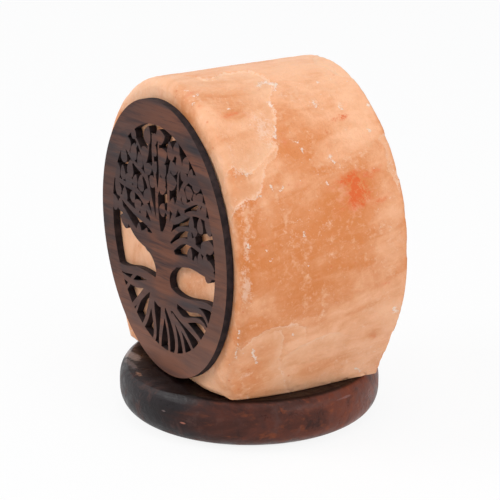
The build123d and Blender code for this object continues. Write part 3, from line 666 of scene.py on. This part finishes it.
def flake_fields(places):
    """For each layer of flakes: signed distance to the nearest hollow's edge, how much of a hollow
    a place is in, and how deep it is cut."""
    fields = {}
    for layer, edge, beyond, depth, reach in FLAKES:
        edge_line = in_millimetres(edge)
        loop = np.vstack([edge_line, in_millimetres(beyond)])
        within = inside(places, loop)
        far = distance_to(places, edge_line)
        to_loop = distance_to(places, np.vstack([loop, loop[:1]]))
        signed = np.clip(np.where(within, 1, -1) * to_loop, -FLAKE_BAND, FLAKE_BAND)
        hollow = np.exp(-far / reach)
        cut = depth * np.where(within, hollow * np.clip(far / FLAKE_STEP, 0, 1), 0)
        if layer in fields:
            old = fields[layer]
            fields[layer] = (np.maximum(old[0], signed), np.maximum(old[1], hollow), old[2] + cut)
        else:
            fields[layer] = (signed, hollow, cut)
    return fields


def ragged(points):
    """Places on the unrolled drum, shaken a little so that edges run ragged."""
    shake = np.column_stack([rough(points, 0.45, 3, 5), rough(points, 0.45, 3, 9)])
    return unrolled(points) + shake * RAGGED


def scratch_and_glint_field(places):
    """1 along each scratch, ridge and painted glint, running out to 0 at twice its half width."""
    field = np.zeros(len(places))
    for half, *pixels in SCRATCHES_AND_GLINTS:
        far = distance_to(places, in_millimetres(traced(*pixels)))
        field = np.maximum(field, np.clip(1.2 - 0.6 * far / half, 0, 1))
    return field


def glint_chance(points, frost, scratch_and_glint):
    """How thick the glints stand: on the outer skin only, and clear of the drum's farthest reach."""
    x, y, z = points.T
    inward = DRUM_R - np.hypot(x, z - DRUM_Z)
    on_skin = (inward < GLINT_SKIN) | (y < SALT_FRONT + GLINT_SKIN) | (y > SALT_BACK - GLINT_SKIN)
    within = (np.abs(x) < DRUM_R - GLINT_CLEAR) & (z < DRUM_Z + DRUM_R - GLINT_CLEAR)
    above_seat = z > SEAT_Z + GLINT_CLEAR
    chance = np.clip(frost * 0.9 + scratch_and_glint * 2, 0, 2) + GLINT_LEAST
    return np.where(on_skin & within & above_seat, chance, 0)


def write_colours(mesh):
    """Attributes that the salt's finish reads: colours, flakes, and scratches with painted glints."""
    points = points_of(mesh)
    places = ragged(points)
    middle, half = (SALT_FRONT + SALT_BACK) / 2, (SALT_BACK - SALT_FRONT) / 2
    on_faces = ramp(np.abs(points[:, 1] - middle), half - FACE_EDGE, half)
    flat_amber = np.where(points[:, 1] < 0, 0.1, 0.55)
    veins = rough(points, 0.03, 4, 21) * on_faces
    rust_spots = np.clip(rough(points, 0.05, 3, 31) - 0.22, 0, 1) * on_faces
    frost = patches(places, FROST) + np.clip(veins, 0, 1) * 0.9
    scratch_and_glint = scratch_and_glint_field(places)
    values = {"amber": patches(places, AMBER) + on_faces * flat_amber + veins * 1.2,
              "rust": patches(places, RUST) + rust_spots * 4,
              "frost": frost, "scratch_and_glint": scratch_and_glint, "glint": glint_chance(points, frost, scratch_and_glint)}
    for layer, (signed, hollow, _) in flake_fields(places).items():
        values[layer + "_edge"], values[layer + "_hollow"] = signed, hollow
    for name, field in values.items():
        mesh.attributes.new(name, "FLOAT", "POINT").data.foreach_set("value", field)


def worn(points, normals):
    """The blank's points, cut in by dents, flakes and chips, with its foot rubbed out of square."""
    _, y, z = points.T
    cut = SKIN + WIDE_DENTS * rough(points, 0.045, 3, 1) + SMALL_DENTS * rough(points, 0.4, 3, 2)
    cut += sum(field[2] for field in flake_fields(ragged(points)).values())
    near_back = ramp(y, SALT_BACK - BACK_BAND, SALT_BACK)
    near_foot = ramp(z, SEAT_Z + FOOT_BAND, SEAT_Z)
    cut += (near_back + near_foot * 0.5) * EDGE_CHIPS * np.clip(rough(points, 0.22, 4, 12), 0, 1)
    cut += near_foot * FOOT_CHIPS * np.clip(rough(points, 0.4, 4, 17) - 0.12, 0, 1)
    cut[(normals[:, 2] < -0.95) & (z < SEAT_Z + 0.01)] = LEAST_CUT
    points = points - normals * np.maximum(cut, LEAST_CUT)[:, None]

    corner = np.array([SEAT_HALF, SALT_FRONT, SEAT_Z])
    near_corner = np.exp(-((points - corner) ** 2).sum(axis=1) / CORNER_REACH ** 2)
    points += near_corner[:, None] * np.array(CORNER_WEAR)
    low = ramp(points[:, 2], SEAT_Z + FOOT_RISE, SEAT_Z) * ramp(points[:, 0], FOOT_INNER, FOOT_OUTER)
    points[:, 0] += FOOT_SPREAD * low * np.exp(-((points[:, 1] - FOOT_MIDDLE) / FOOT_REACH) ** 2)
    return points


def salt_blank():
    """The drum before it is drilled, as one closed mesh."""
    outline, rows = salt_outline(), salt_profile()
    points = np.vstack([np.column_stack([outline[:, 0] * share, np.full(AROUND, y),
                                         outline[:, 1] * share + DRUM_Z]) for share, y in rows])
    mesh = mesh_from("salt_blank", points, [face[::-1] for face in closed_faces(len(rows), AROUND)])
    mesh.update()
    normals = np.zeros(3 * len(points))
    mesh.vertices.foreach_get("normal", normals)
    mesh.vertices.foreach_set("co", (worn(points, normals.reshape(-1, 3)) * MM).ravel())
    mesh.update()
    return mesh


def cavity_drill():
    """The drill for the bulb's cavity, bevelled at its end."""
    return lathe("salt_drill", [
        (CAVITY_R, DRILL_START), (CAVITY_R, CAVITY_TOP - CAVITY_ROUND),
        (CAVITY_R - CAVITY_BEVEL, CAVITY_TOP - CAVITY_BEVEL),
        (CAVITY_R - CAVITY_ROUND, CAVITY_TOP), (DRILL_TIP_R, CAVITY_TOP)], DRILL_SIDES)


def plug_drills():
    """The drills for the four plastic plugs, as one mesh."""
    mesh = bpy.data.meshes.new("plug_holes")
    body = bmesh.new()
    for angle in SCREW_ANGLES:
        middle = Matrix.Translation((SCREW_CIRCLE_R * MM * cos(radians(angle)),
                                     SCREW_CIRCLE_R * MM * sin(radians(angle)), PLUG_HOLE_Z * MM))
        bmesh.ops.create_cone(body, cap_ends=True, segments=PLUG_HOLE_SIDES, radius1=PLUG_HOLE_R * MM,
                              radius2=PLUG_HOLE_R * MM, depth=PLUG_HOLE_LENGTH * MM, matrix=middle)
    body.to_mesh(mesh)
    body.free()
    return mesh


def salt_drum(finish):
    """The cut and rubbed drum with its broken flakes, drilled from below."""
    blank = new_object("salt_blank", salt_blank())
    drills = [new_object(mesh.name, mesh) for mesh in (cavity_drill(), plug_drills())]
    for drill in drills:
        cutter = blank.modifiers.new(drill.name, "BOOLEAN")
        cutter.operation, cutter.object, cutter.solver = "DIFFERENCE", drill, "EXACT"
    drum = plain_mesh(blank, "salt_drum")
    for used in [blank] + drills:
        bpy.data.objects.remove(used)
    write_colours(drum.data)
    drum.data.materials.clear()
    drum.data.materials.append(finish)
    return drum


# ------------------------------------------------------------------ what repeats
class Grower(Tree):
    """A Geometry Nodes tree with named sizes, grown once into a plain mesh."""

    def __init__(self, name, finish, **sizes):
        self.name, self.finish, self.sizes = name, finish, sizes
        self.group = bpy.data.node_groups.new(name, "GeometryNodeTree")
        super().__init__(self.group)
        self.group.interface.new_socket("Geometry", in_out="INPUT", socket_type="NodeSocketGeometry")
        self.group.interface.new_socket("Geometry", in_out="OUTPUT", socket_type="NodeSocketGeometry")
        for label in sizes:
            self.group.interface.new_socket(label, in_out="INPUT", socket_type="NodeSocketFloat")
        entry = self.nodes.new("NodeGroupInput")
        self.source = Sock(self, entry.outputs["Geometry"])
        self.size = {label: Sock(self, entry.outputs[label]) for label in sizes}

    def grow(self, shape, source=None):
        """Runs the tree once, on a source mesh if it has one, and keeps the plain result."""
        whole = self.node("GeometryNodeRealizeInstances", {}, {"Geometry": shape})
        shaded = self.node("GeometryNodeSetMaterial", {}, {"Geometry": whole, "Material": self.finish})
        end = self.nodes.new("NodeGroupOutput")
        self.feed(end.inputs["Geometry"], shaded)
        host = new_object(self.name + "_source", source or bpy.data.meshes.new(self.name + "_source"))
        growth = host.modifiers.new(self.name, "NODES")
        growth.node_group = self.group
        for item in self.group.interface.items_tree:
            if item.in_out == "INPUT" and item.name in self.sizes:
                growth[item.identifier] = self.sizes[item.name]
        piece = plain_mesh(host, self.name)
        host.modifiers.remove(growth)
        bpy.data.objects.remove(host)
        return piece

    def random(self, low, high, seed):
        """A value drawn for each point, the same at every run."""
        return self.node("FunctionNodeRandomValue", {"data_type": "FLOAT"},
                         {2: low, 3: high, "Seed": seed}, 1)

    def curve_through(self, count, point):
        """A curve whose points are set from the share of the way along it, 0 to 1."""
        line = self.node("GeometryNodeMeshLine", {}, {"Count": count})
        curve = self.node("GeometryNodeMeshToCurve", {}, {0: line})
        along = self.node("GeometryNodeInputIndex") / (count - 1)
        position = self.node("ShaderNodeCombineXYZ", {}, dict(enumerate(point(along))))
        return self.node("GeometryNodeSetPosition", {}, {"Geometry": curve, "Position": position})

    def tube(self, curve, radius, sides):
        """A round skin on a curve, closed at both ends."""
        ring = self.node("GeometryNodeCurvePrimitiveCircle", {}, {"Resolution": sides, "Radius": radius})
        skin = self.node("GeometryNodeCurveToMesh", {},
                         {"Curve": curve, "Profile Curve": ring, "Fill Caps": True})
        return self.node("GeometryNodeSetShadeSmooth", {}, {0: skin})


THREAD_STEPS, THREAD_SIDES = 40, 8          # points a turn, and sides of the bead
COIL_TURNS, COIL_STEPS, COIL_SIDES = 30, 14, 5


def screw_thread(name, finish, radius, bead, start, turns, phase):
    """A round bead rolled round Z, rising a pitch a turn; radius, bead and start in millimetres."""
    thread = Grower(name, finish, Radius=radius * MM, Bead=bead * MM, Pitch=THREAD_PITCH * MM,
                    Start=start * MM, Turns=turns, Phase=phase)
    size = thread.size

    def point(along):
        angle = along * size["Turns"] * 2 * pi + size["Phase"]
        return (size["Radius"] * angle.cosine(), size["Radius"] * angle.sine(),
                size["Start"] + along * size["Turns"] * size["Pitch"])

    line = thread.curve_through(round(turns * THREAD_STEPS), point)
    return thread.grow(thread.tube(line, size["Bead"], THREAD_SIDES))


def filament_coil(finish):
    """The coiled wire, bowed up between its two leads."""
    coil = Grower("filament_coil", finish, Reach=5.6 * MM, Foot=69.7 * MM, Bow=2.75 * MM, Coil=0.2 * MM,
                  Wire=0.05 * MM, Turns=float(COIL_TURNS))
    size = coil.size

    def point(along):
        angle = along * size["Turns"] * 2 * pi
        side = along * 2 - 1
        return (side * size["Reach"], size["Coil"] * angle.sine(),
                size["Foot"] + (along * pi).sine() * size["Bow"] + size["Coil"] * angle.cosine())

    line = coil.curve_through(COIL_TURNS * COIL_STEPS, point)
    return coil.grow(coil.tube(line, size["Wire"], COIL_SIDES))


GLINT_SEED, EDGE_SEED, TURN_SEEDS = 7, 1, (2, 3, 4)


def salt_glints(drum, finish):
    """Small crystal faces that stand a little out of the drum, thicker where it is chipped."""
    glints = Grower("salt_glints", finish, Density=52000.0, Smallest=0.14 * MM, Largest=0.42 * MM,
                    Sink=0.1 * MM, Flatness=0.8)
    size = glints.size
    wanted = glints.node("GeometryNodeInputNamedAttribute", {"data_type": "FLOAT"}, {"Name": "glint"})
    spots = glints.nodes.new("GeometryNodeDistributePointsOnFaces")
    glints.feed(spots.inputs["Mesh"], glints.source)
    glints.feed(spots.inputs["Density"], wanted * size["Density"])
    spots.inputs["Seed"].default_value = GLINT_SEED
    sunk = glints.node("ShaderNodeVectorMath", {"operation": "SCALE"},
                       {0: Sock(glints, spots.outputs["Normal"]), "Scale": size["Sink"] * -1})
    placed = glints.node("GeometryNodeSetPosition", {},
                         {"Geometry": Sock(glints, spots.outputs["Points"]), "Offset": sunk})
    edge = glints.random(size["Smallest"], size["Largest"], EDGE_SEED)
    grown = glints.node("ShaderNodeCombineXYZ", {}, {0: edge, 1: edge * size["Flatness"], 2: edge})
    cube = glints.node("GeometryNodeMeshCube", {}, {"Size": (1, 1, 1)})
    turned = glints.node("ShaderNodeCombineXYZ", {}, dict(enumerate(
        glints.random(0.0, 2 * pi, seed) for seed in TURN_SEEDS)))
    scattered = glints.node("GeometryNodeInstanceOnPoints", {},
                            {"Points": placed, "Instance": cube, "Rotation": turned, "Scale": grown})
    return glints.grow(scattered, drum.data.copy())


# ------------------------------------------------------------------ floor and light
FLOOR_HALF = 30.0
SHADE_R, GLOW_R = 38 * MM, 47 * MM          # how far out the floor stays shaded, and where it glows fully
FLOOR_GLOW = 0.9
AIM = Vector((0, 0, 70 * MM))
ROOM_LIGHT, WHITE = (0.40, 0.41, 0.43, 1), (1, 1, 1, 1)
# The lamps of the room: name, place, size in metres and power in watts.
ROOM_LAMPS = [
    ("key", (0.5, -0.1, 1.5), 0.9, 8.9),
    ("right_fill", (1.4, 0.6, 0.6), 0.8, 6.0),
    ("left_fill", (-0.5, -1.3, 1.1), 0.8, 11.5),
]


def background_ray(tree):
    """1 where the camera sees the background, also by way of metal or glass."""
    path = tree.nodes.new("ShaderNodeLightPath")
    camera, glossy, passed = (Sock(tree, path.outputs["Is " + kind + " Ray"])
                              for kind in ("Camera", "Glossy", "Transmission"))
    return camera.most(glossy).most(passed)


def stage_floor():
    """A pale floor that reads as white to the camera, but for the shade under the lamp."""
    mesh = bpy.data.meshes.new("floor")
    corners = [(-FLOOR_HALF, -FLOOR_HALF, 0), (FLOOR_HALF, -FLOOR_HALF, 0),
               (FLOOR_HALF, FLOOR_HALF, 0), (-FLOOR_HALF, FLOOR_HALF, 0)]
    mesh.from_pydata(corners, [], [(0, 1, 2, 3)])
    paper = Finish("white_floor", Roughness=0.9)
    paper.colour(paper.blend(paper.clouds(3, 2), tint(240, 240, 240), tint(244, 244, 244)))
    glow = paper.node("ShaderNodeEmission", {}, {"Color": WHITE, "Strength": 1.0})
    x, y, _ = paper.axes()
    beyond = (x * x + y * y).over(SHADE_R ** 2, GLOW_R ** 2)
    shared = paper.node("ShaderNodeMixShader", {},
                        {0: background_ray(paper) * beyond * FLOOR_GLOW,
                         1: Sock(paper, paper.shader.outputs[0]), 2: glow})
    paper.feed(paper.nodes["Material Output"].inputs["Surface"], shared)
    mesh.materials.append(paper.material)
    new_object("floor", mesh)


def light_room():
    """Grey light from all round, white to the camera, and three soft lamps."""
    world = bpy.data.worlds.new("studio")
    world.use_nodes = True
    bpy.context.scene.world = world
    tree = Tree(world.node_tree)
    colour = tree.node("ShaderNodeMix", {"data_type": "RGBA"},
                       {0: background_ray(tree), 6: ROOM_LIGHT, 7: WHITE}, 2)
    tree.feed(tree.nodes["Background"].inputs["Color"], colour)
    for name, place, size, power in ROOM_LAMPS:
        lamp = bpy.data.lights.new(name, "AREA")
        lamp.size, lamp.energy = size, power
        holder = bpy.data.objects.new(name, lamp)
        holder.location = place
        holder.rotation_euler = (Vector(place) - AIM).to_track_quat("Z", "Y").to_euler()
        bpy.context.scene.collection.objects.link(holder)


# ------------------------------------------------------------------ the whole lamp
bpy.context.scene.view_settings.view_transform = "Standard"
place_camera()
SALT = rock_salt()
PLASTIC = moulded("black_moulding", tint(30, 30, 32), tint(48, 48, 50), 0.4)
NYLON = moulded("nylon", tint(162, 162, 156), tint(188, 187, 182), 0.45)
RUBBER = moulded("foot_rubber", tint(26, 26, 27), tint(46, 45, 45), 0.65)
STEATITE = moulded("steatite", tint(216, 211, 198), tint(238, 234, 224), 0.5)
DARK_GLASS = moulded("dark_glass", tint(22, 22, 26), tint(38, 38, 44), 0.08)
BRASS = metal("brass", tint(190, 154, 86), tint(224, 190, 122), 0.22)
NICKEL = metal("nickel", tint(196, 194, 188), tint(224, 222, 216), 0.16)
ZINC = metal("zinc_plate", tint(174, 176, 178), tint(208, 209, 210), 0.28)
SPRING = metal("spring_steel", tint(146, 148, 152), tint(188, 190, 194), 0.25, turned=False)
SOLDER = metal("solder", tint(156, 156, 158), tint(198, 198, 200), 0.35, turned=False)
WIRE = metal("wire", tint(128, 124, 118), tint(168, 164, 156), 0.3, turned=False)
GLASS = clear_glass()

NODE_FINISHES = {
    "wood_base": dark_wood(), "tree_disc": cut_board(), "base_screws": ZINC, "salt_plugs": NYLON,
    "rubber_feet": RUBBER, "rear_cap": PLASTIC, "holder_skirt": PLASTIC, "terminal_insert": STEATITE,
    "threaded_shell": BRASS, "centre_contact": BRASS, "side_contact": BRASS, "terminal_clamps": BRASS,
    "terminal_screws": ZINC, "spring_clip": SPRING, "glass_envelope": GLASS, "screw_cap": NICKEL,
    "cap_insulator": DARK_GLASS, "tip_contact": SOLDER, "glass_stem": GLASS, "lead_wires": WIRE,
    "filament": WIRE, "salt_block": SALT,
}
for node, finish in NODE_FINISHES.items():
    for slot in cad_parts[node].material_slots:
        slot.material = finish

drum = salt_drum(SALT)
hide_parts("salt_block")
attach(drum, "lamp_body")
glints = salt_glints(drum, rock_salt("salt_glint", 0.5))
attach(glints, "lamp_body")
bulb_thread = screw_thread("bulb_thread", NICKEL, radius=6.3, bead=0.7, start=37.2, turns=3.2, phase=0.0)
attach(bulb_thread, "bulb")
shell_thread = screw_thread("shell_thread", BRASS, radius=7.72, bead=0.5, start=36.0, turns=4.2, phase=pi)
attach(shell_thread, "lampholder")
wire_coil = filament_coil(WIRE)
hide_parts("filament")
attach(wire_coil, "bulb")

stage_floor()
light_room()
